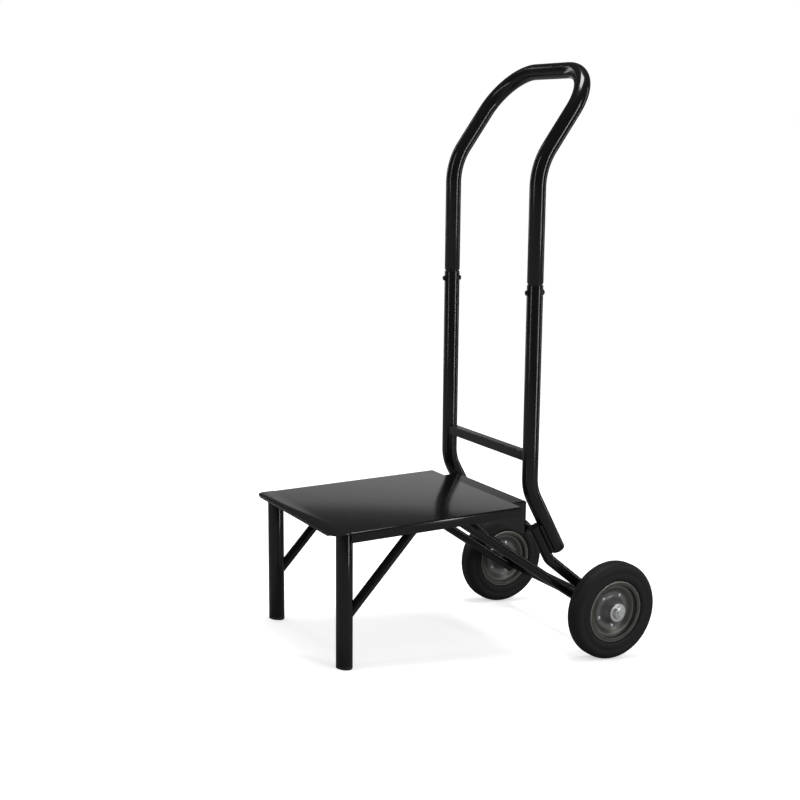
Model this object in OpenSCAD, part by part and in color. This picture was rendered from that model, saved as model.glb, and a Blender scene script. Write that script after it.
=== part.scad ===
// Two-wheeled stack trolley. A folded sheet platform stands on two front legs and two struts,
// bent arms rise from the axle, and two uprights welded to them carry a bent tube handle.
// The front faces -Y, the wheels and the handle are at +Y, and the floor is at zero.
// The frame is drawn with its platform level and its heights taken from the bottom of the wheels.
// It then leans forward about the axle until its feet stand on the floor.

/* [Frame tubes] */
// Outside diameter of the legs, uprights and handle
tube_d = 31.75; // [28:0.25:33]
// Wall of the legs, uprights and handle
tube_wall = 1.6; // [1.2:0.1:2.5]
// Outside diameter of the arms that rise from the axle
arm_d = 22.2; // [20:0.1:24.5]
// Wall of the arms
arm_wall = 1.6; // [1.2:0.1:2.5]
// Outside diameter of the struts and leg braces
strut_d = 19; // [16:0.5:22]
// Wall of the struts and leg braces
strut_wall = 1.5; // [1:0.1:2]
// Distance from the legs back to the axle
wheelbase = 587.5; // [550:0.5:640]
// Forward lean of the frame when its feet stand on the floor
stance = 7; // [5:0.25:8.5]

/* [Platform] */
// Height of the platform's top face
platform_z = 337.5; // [322:0.5:352]
// Thickness of the platform's sheet
sheet_t = 2.5; // [2:0.1:3.2]
// Depth of the folded side flanges
flange_h = 19.5; // [15:0.5:26]
// Outside radius of the flange folds
fold_r = 3.7; // [3.5:0.1:7]
// Radius of the platform's front corners
corner_r = 19; // [12:1:30]
// Depth of the flat front lip before the flanges start
lip_depth = 40; // [34:1:60]
// Width of the hem folded under the front edge
hem_w = 12; // [8:0.5:14]
// Gap from the platform's rear edge to the uprights
platform_rear_gap = 16; // [8:0.5:30]

/* [Legs] */
// Gap from a leg to the fold of the platform's flange
fold_clear = 0.5; // [0.4:0.1:20]
// Distance from the platform's front edge to the middle of a leg
leg_setback = 35.5; // [32:0.5:45]
// Height of the foot below the leg tube
foot_h = 6; // [4:0.5:10]
// Rounding of the foot's lower edge
foot_round = 2.5; // [1:0.25:3.5]
// Length of the plastic plugs inside the tubes
plug_len = 18; // [10:1:30]
// Height at which a brace meets the middle line of its leg
brace_z = 166; // [145:1:185]
// Lean of a brace from upright
brace_angle = 43.6; // [36:0.2:50]

/* [Uprights] */
// Distance from the uprights forward of the axle
upright_ahead = 175.3; // [160:0.1:190]
// Height of the lower bend's corner
upright_bend_z = 365.5; // [355:0.5:378]
// Lean of the uprights' tails below the bend
tail_angle = 28.6; // [26:0.1:32]
// Radius of the lower bend's middle line
upright_bend_r = 88; // [60:1:110]
// Height of the domed plug under an upright
tail_plug_h = 4; // [3:0.5:6]

/* [Arms and struts] */
// Lean of the arms' lower runs from upright
arm_angle = 50.75; // [48:0.25:54]
// Radius of the arm bend's middle line
arm_bend_r = 35; // [28:1:40]
// Height of an arm's middle line over the axle, square to the arm
arm_lift = 8.5; // [6.5:0.25:10]
// Lean of the struts from upright
strut_angle = 55; // [52.5:0.1:58]
// Diameter of the weld beads between an upright and its arm
weld_d = 6; // [4:0.25:8]
// Distance of the weld beads from the rear rail and from the upright's end
weld_margin = 3; // [1:0.5:8]
// Thickness of the plug flange on top of an arm
arm_plug_h = 2; // [1.5:0.25:4]

/* [Rear rail] */
// Outside diameter of the tube between the arms
rail_d = 19; // [16:0.5:22]
// Wall of the tube between the arms
rail_wall = 1.5; // [1:0.1:2]
// Distance of that tube's middle below the platform's sheet
rail_drop = 61; // [54:1:68]
// Length of the arm above that tube's middle
arm_above_rail = 13; // [12:0.5:20]
// Length of the tie plate lapped under the platform
tie_lap = 32; // [20:1:60]
// Gap from each end of the tie plate to an upright
tie_side_gap = 8; // [4:0.5:20]

/* [Cross bar] */
// Side of the square cross bar
bar_size = 19; // [16:0.5:23]
// Wall of the cross bar
bar_wall = 1.5; // [1:0.1:1.9]
// Rounding of the cross bar's edges
bar_round = 2; // [1.6:0.1:4]
// Height of the cross bar's middle
bar_z = 430.5; // [410:0.5:600]

/* [Handle] */
// Height of the grip's middle line
handle_top_z = 1180; // [1120:1:1250]
// Rise from the corner where the handle leans back to the grip's middle line
handle_rise = 183.5; // [165:0.5:215]
// Distance of the uprights' tops below that corner
joint_drop = 226.5; // [120:0.5:300]
// Lean of the handle above that corner
handle_angle = 36.2; // [30:0.2:42]
// Radius of the lean's middle line
handle_bend_r = 127; // [70:1:160]
// Radius of the two grip corners' middle line
handle_corner_r = 97; // [60:1:120]
// Length of the swaged neck inside an upright
neck_len = 50; // [40:1:80]
// Length of the cone from the neck out to the tube
neck_cone = 4.5; // [3:0.5:10]
// Open gap between the cone and the upright's top
neck_show = 1.5; // [0.5:0.25:3]

/* [Wheels] */
// Outside diameter of a tyre
wheel_d = 203.2; // [190:0.2:216]
// Width of a tyre
tyre_w = 38; // [34:0.5:44]
// Rounding of a tyre's shoulders
shoulder_r = 13; // [8:0.5:15]
// Distance between the wheels' middle planes
track = 402.7; // [370:0.1:440]
// Distance from the middle plane of a wheel in to the middle line of its upright
wheel_outset = 49.85; // [44:0.05:60]
// Diameter of the rim over its lip
rim_d = 127.5; // [118:0.5:134]
// Thickness of the rim's stamped sheet
rim_t = 2; // [1.5:0.1:2.5]
// Height of the rim's lip over the tyre's seat
lip_h = 6; // [4:0.25:8]
// Distance of the lip in from the tyre's side
lip_inset = 3; // [1:0.25:5]
// Depth of the step inside the lip
dish_step = 8; // [6:0.5:10]
// Outside diameter of the hub tube
hub_d = 30; // [27:0.25:34]
// Wall of the hub tube
hub_wall = 2; // [1.5:0.1:2.5]
// Length of the hub over its bushes
hub_len = 42; // [38:0.5:48]
// Length of a hub bush
bush_len = 14; // [10:0.5:17]
// Thickness of a hub bush's flange
bush_flange = 1.5; // [1:0.1:2.5]
// Number of rivets that hold the rim halves together
rivet_count = 5; // [3:1:8]
// Gap from the rivets' heads to the edge of the flat web they sit on
rivet_edge = 0.8; // [0.4:0.1:6]
// Diameter of a rivet
rivet_d = 5; // [4:0.25:6]
// Gap from the rivets' heads to the foot of the rim's boss
boss_gap = 1; // [0.5:0.1:4]
// Length of hub tube that shows beyond the rim's boss
boss_show = 3; // [1:0.5:8]

/* [Axle] */
// Diameter of the axle rod
axle_d = 15.875; // [14:0.005:18]
// Outside diameter of the sleeve around the axle
sleeve_d = 25.4; // [23:0.1:28]
// Diameter of the axle washers
washer_d = 38; // [30:0.5:42]
// Thickness of the axle washers
washer_t = 2; // [1.5:0.1:4]
// Width of an axle nut across its flats
axle_nut_af = 22; // [21:0.5:26]
// Height of an axle nut
axle_nut_h = 7; // [6:0.5:12]
// Length of axle that shows beyond its nut
axle_show = 2.5; // [1:0.5:6]

/* [Bolts] */
// Diameter of the bolts through the handle joint
handle_bolt_d = 6; // [5:0.5:8]
// Distance of the handle bolts below the uprights' tops
handle_bolt_drop = 14; // [10:0.5:26]

/* [Clearances] */
// Gap left at a welded, pressed or seated face
seat_gap = 0.05; // [0.02:0.01:0.1]
// Radial running clearance of the wheels on the axle
run_gap = 0.05; // [0.02:0.01:0.1]
// Gap beside a turning face
side_gap = 0.3; // [0.3:0.05:0.6]
// Gap between neighbouring pieces that do not touch
free_gap = 0.3; // [0.2:0.05:0.8]
// Radial clearance of a bolt in its hole
hole_gap = 0.25; // [0.1:0.05:0.5]
// Radial clearance of the neck in an upright
neck_gap = 0.15; // [0.05:0.05:0.4]

/* [Hidden] */
$fn = 64;
left = 1;
right = -1;
overrun = 2;
bend_swell = 0.05;
bend_bite = 0.5;

// Widths and heads of the fasteners as shares of their diameter, and plug edges as shares of their head
bolt_af_share = 1.625;
bolt_head_share = 0.66;
nut_h_share = 0.8;
bolt_end_share = 0.25;
rivet_head_share = 1.8;
rivet_head_h_share = 0.45;
rivet_tip_share = 0.65;
plug_round_share = 0.75;
weld_tip_share = 0.6;

// Places along the length of the trolley
axle_z = wheel_d / 2;
front_reach = (leg_setback + wheelbase) * cos(stance) + (platform_z - axle_z) * sin(stance);
length = front_reach + wheel_d / 2;
axle_y = length / 2 - wheel_d / 2;
leg_y = axle_y - wheelbase;
front_y = leg_y - leg_setback;
upright_y = axle_y - upright_ahead;
platform_rear_y = upright_y - tube_d / 2 - platform_rear_gap;
platform_depth = platform_rear_y - front_y;
flange_depth = platform_depth - lip_depth;
sheet_z = platform_z - sheet_t;

// Where the floor crosses the middle of a leg once the frame leans, and how far it slopes across a foot
leg_floor_z = axle_z - (axle_z - wheelbase * sin(stance)) / cos(stance);
leg_end_z = leg_floor_z + foot_h;
sole_slope = tube_d / 2 * tan(stance);

// Places across the trolley. Legs, braces, struts, arms and uprights share one side plane.
wheel_x = track / 2;
side_x = wheel_x - wheel_outset;
upright_spacing = 2 * side_x;
platform_w = 2 * (side_x + tube_d / 2 + fold_clear + fold_r);

// Inside diameters of the tubes
tube_id = tube_d - 2 * tube_wall;
arm_id = arm_d - 2 * arm_wall;
strut_id = strut_d - 2 * strut_wall;
rail_id = rail_d - 2 * rail_wall;
neck_d = tube_id - 2 * neck_gap;
neck_id = neck_d - 2 * tube_wall;

// The side plane holds points as [y, z]. A lean is measured from straight down towards the back.
function down_back(lean) = [sin(lean), -cos(lean)];
function up_back(lean) = [cos(lean), sin(lean)];
function unit(v) = v / norm(v);
function heading(v) = atan2(v[1], v[0]);
function turn(a, b) = atan2(a[0] * b[1] - a[1] * b[0], a * b);
function way(path, i) = unit(path[i + 1] - path[i]);
function bend_reach(path, i, r) = r * tan(abs(turn(way(path, i - 1), way(path, i))) / 2);
function stretched(path, extra) = let (last = len(path) - 1) [
    for (i = [0 : last]) i == 0 ? path[0] - extra * way(path, 0)
        : i == last ? path[last] + extra * way(path, last - 1) : path[i]];

// Uprights, arms and rear rail in the side plane. Stations run down the tail from the bend's corner.
bend_point = [upright_y, upright_bend_z];
axle_point = [axle_y, axle_z];
tail_way = down_back(tail_angle);
tail_front = -up_back(tail_angle);
arm_offset = (tube_d + arm_d) / 2 + seat_gap;
arm_line = bend_point + arm_offset * tail_front;
arm_up = up_back(arm_angle);
arm_end = axle_point + arm_lift * arm_up;
arm_bend_station = (arm_line - arm_end) * arm_up / -(tail_way * arm_up);
arm_bend_point = arm_line + arm_bend_station * tail_way;
arm_bend_start = arm_bend_station - arm_bend_r * tan((arm_angle - tail_angle) / 2);
rail_z = sheet_z - rail_drop;
rail_station = (arm_line[1] - rail_z) / cos(tail_angle);
rail_point = arm_line + rail_station * tail_way;
arm_top_station = rail_station - arm_above_rail;
arm_top = arm_line + arm_top_station * tail_way;
tail_end_station = arm_bend_start - tail_plug_h - free_gap;

// A weld bead rests on both tubes: its shift runs from the upright's middle towards the arm's
weld_to_upright = (tube_d + weld_d) / 2 + seat_gap;
weld_to_arm = (arm_d + weld_d) / 2 + seat_gap;
weld_shift = (pow(weld_to_upright, 2) - pow(weld_to_arm, 2) + pow(arm_offset, 2)) / (2 * arm_offset);
weld_x = sqrt(pow(weld_to_upright, 2) - pow(weld_shift, 2));

// Struts lie under the arms at the axle and rise forwards to the sheet
strut_drop = (arm_d + strut_d) / 2 - arm_lift + 2 * free_gap;
strut_foot = axle_point - strut_drop * up_back(strut_angle);
strut_len = (sheet_z - strut_foot[1] + strut_d) / cos(strut_angle);
strut_top = strut_foot - strut_len * down_back(strut_angle);
brace_foot = [leg_y, brace_z];
brace_len = (sheet_z - brace_z + strut_d) / cos(brace_angle);
brace_top = brace_foot + brace_len * [sin(brace_angle), cos(brace_angle)];

// Handle in the side plane, and its grip in the leaning plane
lean_up = [sin(handle_angle), cos(handle_angle)];
handle_bend_z = handle_top_z - handle_rise;
handle_bend = [upright_y, handle_bend_z];
grip_rise = handle_rise / cos(handle_angle);
grip_start = grip_rise - handle_corner_r;
upright_top_z = handle_bend_z - joint_drop;
cone_z = upright_top_z + neck_show;
neck_top_z = cone_z + neck_cone;
handle_bolt_z = upright_top_z - handle_bolt_drop;

// Wheel section: radii from the axle and distances from the wheel's middle plane
hub_id = hub_d - 2 * hub_wall;
hub_tube_len = hub_len - 2 * bush_flange;
rim_r = rim_d / 2;
seat_r = rim_r - lip_h;
lip_x = tyre_w / 2 - lip_inset;
ring_x = lip_x - dish_step;
ring_share = 0.86;
web_share = 0.68;
ring_r = seat_r * ring_share;
web_r = seat_r * web_share;
rivet_r = web_r - rivet_edge - rivet_d * rivet_head_share / 2;
rivet_phase = 10;
boss_r = rivet_r - rivet_d * rivet_head_share / 2 - boss_gap;
boss_x = hub_tube_len / 2 - boss_show;
bush_d = hub_id - 2 * seat_gap;
bore_d = axle_d + 2 * run_gap;
hub_end_x = wheel_x + hub_len / 2;
hub_start_x = wheel_x - hub_len / 2;
sleeve_len = 2 * (hub_start_x - 2 * side_gap - washer_t);
washer_x = hub_end_x + side_gap;
axle_nut_x = washer_x + washer_t + seat_gap;
axle_len = 2 * (axle_nut_x + axle_nut_h + axle_show);

steel_black = "#1b1b1c";
sheet_black = "#26272a";
plastic_black = "#111112";
rubber_black = "#2b2b2b";
rim_grey = "#7d7d74";
zinc = "#c9ccd0";

// Leans the frame forward about the axle
module standing() {
    translate([0, axle_y, axle_z]) rotate([stance, 0, 0]) translate([0, -axle_y, -axle_z]) children();
}

// Turns a shape drawn in the side plane upright, at a distance x across the trolley
module side_plane(x) {
    translate([x, 0, 0]) rotate([90, 0, 90]) children();
}

// Points a shape that rises along z along a heading of the plane it lies in
module along(point, direction) {
    translate(point) rotate([0, 90, heading(direction)]) children();
}

// Round bar along points of a plane, with each corner between them bent to radius r.
// A bend is a little thicker than the runs on either side of it, and each run bites into it.
module bent_bar(path, r, d) {
    last = len(path) - 1;
    for (i = [0 : last - 1]) {
        from = i == 0 ? 0 : bend_reach(path, i, r) - bend_bite;
        to = i == last - 1 ? 0 : bend_reach(path, i + 1, r) - bend_bite;
        run = norm(path[i + 1] - path[i]) - from - to;
        if (run > 2 * bend_bite)
            along(path[i] + from * way(path, i), way(path, i)) cylinder(d = d, h = run);
    }
    for (i = [1 : last - 1]) {
        ahead = way(path, i - 1);
        angle = turn(ahead, way(path, i));
        hand = angle > 0 ? 1 : -1;
        centre = path[i] - bend_reach(path, i, r) * ahead + hand * r * [-ahead[1], ahead[0]];
        translate(centre) rotate([0, 0, heading(ahead) - hand * 90 + min(angle, 0)])
            rotate_extrude(angle = abs(angle)) translate([r, 0]) circle(r = d / 2 + bend_swell);
    }
}

module bent_tube(path, r, d, id) {
    difference() {
        bent_bar(path, r, d);
        bent_bar(stretched(path, overrun), r, id);
    }
}

module straight_tube(from, to, d, id) {
    along(from, to - from) difference() {
        cylinder(d = d, h = norm(to - from));
        translate([0, 0, -overrun]) cylinder(d = id, h = norm(to - from) + 2 * overrun);
    }
}

module rounded_square(size, r) {
    inner = size - 2 * r;
    square([size, inner], center = true);
    square([inner, size], center = true);
    for (x = [-inner, inner], y = [-inner, inner]) translate([x, y] / 2) circle(r = r);
}

module hex_prism(af, h) {
    cylinder(d = af / cos(30), h = h, $fn = 6);
}

// Bolt along z with the underside of its head at zero, and its nut at the end of the grip
module bolt(d, grip) {
    nut_h = d * nut_h_share;
    translate([0, 0, -d * bolt_head_share]) hex_prism(d * bolt_af_share, d * bolt_head_share);
    cylinder(d = d, h = grip + nut_h + d * bolt_end_share);
}

module bolt_nut(d, grip) {
    translate([0, 0, grip]) difference() {
        hex_prism(d * bolt_af_share, d * nut_h_share);
        translate([0, 0, -overrun]) cylinder(d = d + 2 * seat_gap, h = d * nut_h_share + 2 * overrun);
    }
}

// Plastic plug: a stem inside a tube and a round-edged head of the tube's own diameter below it
module tube_plug(d, id, stem, head, round_r) {
    rotate_extrude() {
        translate([0, -head + round_r]) square([d / 2, head - round_r - seat_gap]);
        translate([0, -head]) square([d / 2 - round_r, head - seat_gap]);
        translate([d / 2 - round_r, -head + round_r]) intersection() {
            circle(r = round_r);
            translate([0, -round_r]) square(round_r);
        }
        translate([0, -head / 2]) square([id / 2 - seat_gap, stem + head / 2]);
    }
}

module above_sheet() {
    translate([-platform_w, -length, sheet_z - seat_gap]) cube([2 * platform_w, 2 * length, platform_z]);
}

// Platform

// Quarter of a ring, which is the section of a right-angled fold
module fold_section(r, t) {
    intersection() {
        difference() {
            circle(r = r);
            circle(r = r - t);
        }
        square(r);
    }
}

module flange_section() {
    translate([-fold_r, -fold_r]) fold_section(fold_r, sheet_t);
    translate([-sheet_t, -flange_h]) square([sheet_t, flange_h - fold_r]);
}

module lip_outline() {
    translate([-platform_w / 2 + corner_r, 0]) square([platform_w - 2 * corner_r, lip_depth]);
    translate([-platform_w / 2, corner_r]) square([platform_w, lip_depth - corner_r]);
    for (side = [left, right]) translate([side * (platform_w / 2 - corner_r), corner_r]) circle(r = corner_r);
}

module hem_section() {
    translate([sheet_t, -sheet_t]) circle(r = sheet_t);
    translate([sheet_t, -2 * sheet_t]) square([hem_w - sheet_t, sheet_t]);
}

module platform_tray() color(sheet_black) standing() {
    translate([0, front_y, sheet_z]) linear_extrude(sheet_t) {
        lip_outline();
        translate([-platform_w / 2 + fold_r, 0]) translate([0, corner_r])
            square([platform_w - 2 * fold_r, platform_depth - corner_r]);
    }
    for (side = [0, 1]) mirror([side, 0, 0])
        translate([platform_w / 2, platform_rear_y, platform_z]) rotate([90, 0, 0])
            linear_extrude(flange_depth) flange_section();
    hem_len = platform_w - 2 * corner_r;
    translate([-hem_len / 2, front_y, platform_z]) rotate([90, 0, 90]) linear_extrude(hem_len) hem_section();
}

// Legs

module front_leg(side) color(steel_black) standing()
    translate([side * side_x, leg_y, leg_end_z]) difference() {
        cylinder(d = tube_d, h = sheet_z - seat_gap - leg_end_z);
        translate([0, 0, -overrun]) cylinder(d = tube_id, h = sheet_z + 2 * overrun);
    }

// The sole is cut flat where the leaning leg meets the floor
module leg_foot(side) color(plastic_black) difference() {
    standing() translate([side * side_x, leg_y, leg_end_z])
        tube_plug(tube_d, tube_id, plug_len, foot_h + sole_slope, foot_round);
    translate([-track, -length, -wheel_d]) cube([2 * track, 2 * length, wheel_d]);
}

// Ends at its leg, at the sheet and, should they meet, at the strut
module leg_brace(side) color(steel_black) standing() difference() {
    side_plane(side * side_x) straight_tube(brace_foot, brace_top, strut_d, strut_id);
    translate([side * side_x, leg_y, 0]) cylinder(d = tube_d + 2 * seat_gap, h = platform_z);
    side_plane(side * side_x) along(strut_foot, strut_top - strut_foot)
        translate([-strut_d, strut_d / 2 + seat_gap - wheelbase, 0]) cube([2 * strut_d, wheelbase, strut_len]);
    above_sheet();
}

// Axle, struts and arms

module sleeve_bar(d) {
    translate([-sleeve_len / 2, axle_y, axle_z]) rotate([0, 90, 0]) cylinder(d = d, h = sleeve_len);
}

module axle_sleeve() color(steel_black) difference() {
    sleeve_bar(sleeve_d);
    translate([-sleeve_len, axle_y, axle_z]) rotate([0, 90, 0])
        cylinder(d = axle_d + 2 * hole_gap, h = 2 * sleeve_len);
}

module strut(side) color(steel_black) standing() difference() {
    side_plane(side * side_x) straight_tube(strut_foot, strut_top, strut_d, strut_id);
    sleeve_bar(sleeve_d + 2 * seat_gap);
    above_sheet();
}

module axle_arm(side) color(steel_black) standing() difference() {
    side_plane(side * side_x) bent_tube([arm_top, arm_bend_point, arm_end], arm_bend_r, arm_d, arm_id);
    sleeve_bar(sleeve_d + 2 * seat_gap);
}

module arm_plug(side) color(plastic_black) standing() {
    side_plane(side * side_x) along(arm_top, tail_way)
        tube_plug(arm_d, arm_id, plug_len, arm_plug_h, arm_plug_h * plug_round_share);
}

module rear_rail() color(steel_black) standing() difference() {
    side_plane(-side_x) translate(rail_point) difference() {
        cylinder(d = rail_d, h = upright_spacing);
        translate([0, 0, -overrun]) cylinder(d = rail_id, h = upright_spacing + 2 * overrun);
    }
    for (side = [left, right]) side_plane(side * side_x)
        bent_bar([arm_top, arm_bend_point, arm_end], arm_bend_r, arm_d + 2 * seat_gap);
}

// Lapped under the sheet in front and folded down against the rear rail behind
module tie_plate() color(steel_black) standing() {
    tie_w = upright_spacing - tube_d - 2 * tie_side_gap;
    back = rail_point[0] - rail_d / 2 - seat_gap;
    front = platform_rear_y - tie_lap;
    top = sheet_z - seat_gap;
    low = rail_z - rail_d / 2;
    side_plane(-tie_w / 2) linear_extrude(tie_w) {
        translate([front, top - sheet_t]) square([back - fold_r - front, sheet_t]);
        translate([back - fold_r, top - fold_r]) fold_section(fold_r, sheet_t);
        translate([back - sheet_t, low]) square([sheet_t, top - fold_r - low]);
    }
}

// Uprights

module upright(side) color(steel_black) standing() difference() {
    tail_end = bend_point + tail_end_station * tail_way;
    side_plane(side * side_x)
        bent_tube([[upright_y, upright_top_z], bend_point, tail_end], upright_bend_r, tube_d, tube_id);
    handle_holes(side);
}

module upright_plug(side) color(plastic_black) standing() {
    side_plane(side * side_x) along(bend_point + tail_end_station * tail_way, -tail_way)
        tube_plug(tube_d, tube_id, plug_len, tail_plug_h, tail_plug_h * plug_round_share);
}

// Beads that lie in the valleys on both sides of each upright's tail and its arm
module weld_beads() color(steel_black) standing() {
    bead_start = rail_station + rail_d / 2 + weld_margin;
    bead_len = tail_end_station - weld_margin - bead_start;
    tip_r = weld_d / 2 * weld_tip_share;
    tip_len = weld_d * weld_tip_share;
    start = bend_point + bead_start * tail_way + weld_shift * tail_front;
    for (side = [left, right], face = [weld_x, -weld_x])
        side_plane(side * side_x + face) along(start, tail_way) rotate_extrude() polygon([
            [0, 0], [tip_r, 0], [weld_d / 2, tip_len],
            [weld_d / 2, bead_len - tip_len], [tip_r, bead_len], [0, bead_len],
        ]);
}

module cross_bar() color(steel_black) standing() difference() {
    side_plane(-side_x) translate([upright_y, bar_z]) difference() {
        linear_extrude(upright_spacing) rounded_square(bar_size, bar_round);
        translate([0, 0, -overrun]) linear_extrude(upright_spacing + 2 * overrun)
            rounded_square(bar_size - 2 * bar_wall, bar_round - bar_wall);
    }
    for (side = [left, right]) translate([side * side_x, upright_y, 0])
        cylinder(d = tube_d + 2 * seat_gap, h = upright_top_z);
}

// Handle

module handle_holes(side) {
    translate([side * side_x, upright_y - tube_d, handle_bolt_z]) rotate([-90, 0, 0])
        cylinder(d = handle_bolt_d + 2 * hole_gap, h = 2 * tube_d);
}

// Both sides from the neck up to the grip corners, then the corners and the grip between them
module handle_bar(d, extra) {
    for (side = [left, right]) side_plane(side * side_x)
        bent_bar([[upright_y, neck_top_z - bend_bite - extra], handle_bend,
            handle_bend + (grip_start + bend_bite) * lean_up], handle_bend_r, d);
    translate([0, upright_y, handle_bend_z]) rotate([90 - handle_angle, 0, 0])
        bent_bar([[side_x, grip_start], [side_x, grip_rise], [-side_x, grip_rise],
            [-side_x, grip_start]], handle_corner_r, d);
}

// Swaged end that sits in an upright, and the cone that widens it until it runs into the tube's wall
module handle_neck(side) {
    low = upright_top_z - neck_len;
    translate([side * side_x, upright_y, 0]) rotate_extrude() polygon([
        [neck_id / 2, low], [neck_d / 2, low], [neck_d / 2, cone_z],
        [tube_d / 2 - bend_swell, neck_top_z], [tube_id / 2 + bend_swell, neck_top_z], [neck_id / 2, cone_z],
    ]);
}

module handle_loop() color(steel_black) standing() difference() {
    union() {
        difference() {
            handle_bar(tube_d, 0);
            handle_bar(tube_id, overrun);
        }
        handle_neck(left);
        handle_neck(right);
    }
    handle_holes(left);
    handle_holes(right);
}

module at_handle_bolts() {
    for (side = [left, right]) translate([side * side_x, upright_y + tube_d / 2 + seat_gap, handle_bolt_z])
        rotate([90, 0, 0]) children();
}

module handle_bolts() color(zinc) standing() at_handle_bolts() bolt(handle_bolt_d, tube_d + 2 * seat_gap);

module handle_nuts() color(zinc) standing() at_handle_bolts() bolt_nut(handle_bolt_d, tube_d + 2 * seat_gap);

// Wheels and axle

// Draws a shape that stands on z outwards along the axle, from a distance x off the middle
module on_axle(side, x) {
    translate([side * x, axle_y, axle_z]) rotate([0, side * 90, 0]) children();
}

module ring(d, id, h) {
    difference() {
        cylinder(d = d, h = h);
        translate([0, 0, -overrun]) cylinder(d = id, h = h + 2 * overrun);
    }
}

module axle_rod() color(zinc)
    translate([-axle_len / 2, axle_y, axle_z]) rotate([0, 90, 0]) cylinder(d = axle_d, h = axle_len);

module inner_washers() color(zinc) for (side = [left, right])
    on_axle(side, hub_start_x - side_gap - washer_t) ring(washer_d, axle_d + 2 * hole_gap, washer_t);

module outer_washers() color(zinc) for (side = [left, right])
    on_axle(side, washer_x) ring(washer_d, axle_d + 2 * hole_gap, washer_t);

module axle_nuts() color(zinc) for (side = [left, right])
    on_axle(side, axle_nut_x) difference() {
        hex_prism(axle_nut_af, axle_nut_h);
        translate([0, 0, -overrun]) cylinder(d = axle_d + 2 * seat_gap, h = axle_nut_h + 2 * overrun);
    }

module tyre_section() {
    inner_r = seat_r + seat_gap;
    bead_r = rim_r + free_gap;
    bead_x = lip_x - rim_t - seat_gap;
    tread_r = wheel_d / 2;
    side_x = tyre_w / 2;
    translate([inner_r, -bead_x]) square([bead_r - inner_r, 2 * bead_x]);
    translate([bead_r, -side_x]) square([tread_r - shoulder_r - bead_r, tyre_w]);
    translate([bead_r, shoulder_r - side_x]) square([tread_r - bead_r, tyre_w - 2 * shoulder_r]);
    for (x = [shoulder_r - side_x, side_x - shoulder_r])
        translate([tread_r - shoulder_r, x]) circle(r = shoulder_r);
}

module tyre(side) color(rubber_black) on_axle(side, wheel_x) rotate_extrude() tyre_section();

// A boss that rises to the hub, a flat web, a cone out to a flat ring, the tyre's seat, and the lip
module rim_section() {
    hub_r = hub_d / 2 + seat_gap;
    back_x = seat_gap / 2;
    polygon([
        [hub_r, boss_x - rim_t], [hub_r, boss_x], [hub_r + rim_t, boss_x], [boss_r, rim_t],
        [web_r, rim_t], [ring_r, ring_x],
        [seat_r - rim_t, ring_x], [seat_r - rim_t, lip_x], [rim_r, lip_x], [rim_r, lip_x - rim_t],
        [seat_r, lip_x - rim_t], [seat_r, ring_x - rim_t], [ring_r + rim_t / 2, ring_x - rim_t],
        [web_r + rim_t / 2, back_x], [boss_r - rim_t / 2, back_x],
    ]);
}

module rim_half() color(rim_grey) difference() {
    rotate_extrude() rim_section();
    for (i = [0 : rivet_count - 1]) rotate([0, 0, rivet_phase + i * 360 / rivet_count])
        translate([rivet_r, 0, -overrun])
            cylinder(d = rivet_d + 2 * seat_gap, h = rim_t + 2 * overrun);
}

module rim_outer(side) on_axle(side, wheel_x) rim_half();

module rim_inner(side) on_axle(side, wheel_x) mirror([0, 0, 1]) rim_half();

module rim_rivets(side) color(zinc) on_axle(side, wheel_x) for (i = [0 : rivet_count - 1])
    rotate([0, 0, rivet_phase + i * 360 / rivet_count]) translate([rivet_r, 0, 0])
        for (face = [0, 1]) mirror([0, 0, face]) {
            cylinder(d = rivet_d, h = rim_t + seat_gap);
            translate([0, 0, rim_t + seat_gap]) cylinder(d1 = rivet_d * rivet_head_share,
                d2 = rivet_d * rivet_head_share * rivet_tip_share, h = rivet_d * rivet_head_h_share);
        }

module hub_tube(side) color(rim_grey)
    on_axle(side, wheel_x - hub_tube_len / 2) ring(hub_d, hub_id, hub_tube_len);

module hub_bushes(side) color(plastic_black) on_axle(side, wheel_x) for (face = [0, 1])
    mirror([0, 0, face]) translate([0, 0, hub_len / 2 - bush_len]) difference() {
        union() {
            cylinder(d = bush_d, h = bush_len);
            translate([0, 0, bush_len - bush_flange + seat_gap])
                cylinder(d = hub_d, h = bush_flange - seat_gap);
        }
        translate([0, 0, -overrun]) cylinder(d = bore_d, h = bush_len + 2 * overrun);
    }

platform_tray();
front_leg(left);  // front_leg_left
front_leg(right);  // front_leg_right
leg_foot(left);  // leg_foot_left
leg_foot(right);  // leg_foot_right
leg_brace(left);  // leg_brace_left
leg_brace(right);  // leg_brace_right
strut(left);  // strut_left
strut(right);  // strut_right
axle_sleeve();
axle_arm(left);  // axle_arm_left
axle_arm(right);  // axle_arm_right
arm_plug(left);  // arm_plug_left
arm_plug(right);  // arm_plug_right
rear_rail();
tie_plate();
upright(left);  // upright_left
upright(right);  // upright_right
upright_plug(left);  // upright_plug_left
upright_plug(right);  // upright_plug_right
weld_beads();
cross_bar();
handle_loop();
handle_bolts();
handle_nuts();
axle_rod();
inner_washers();
outer_washers();
axle_nuts();
tyre(left);  // tyre_left
tyre(right);  // tyre_right
rim_outer(left);  // rim_outer_left
rim_outer(right);  // rim_outer_right
rim_inner(left);  // rim_inner_left
rim_inner(right);  // rim_inner_right
rim_rivets(left);  // rim_rivets_left
rim_rivets(right);  // rim_rivets_right
hub_tube(left);  // hub_tube_left
hub_tube(right);  // hub_tube_right
hub_bushes(left);  // hub_bushes_left
hub_bushes(right);  // hub_bushes_right
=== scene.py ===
import math
import bmesh
import bpy
from mathutils import Matrix, Vector


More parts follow.
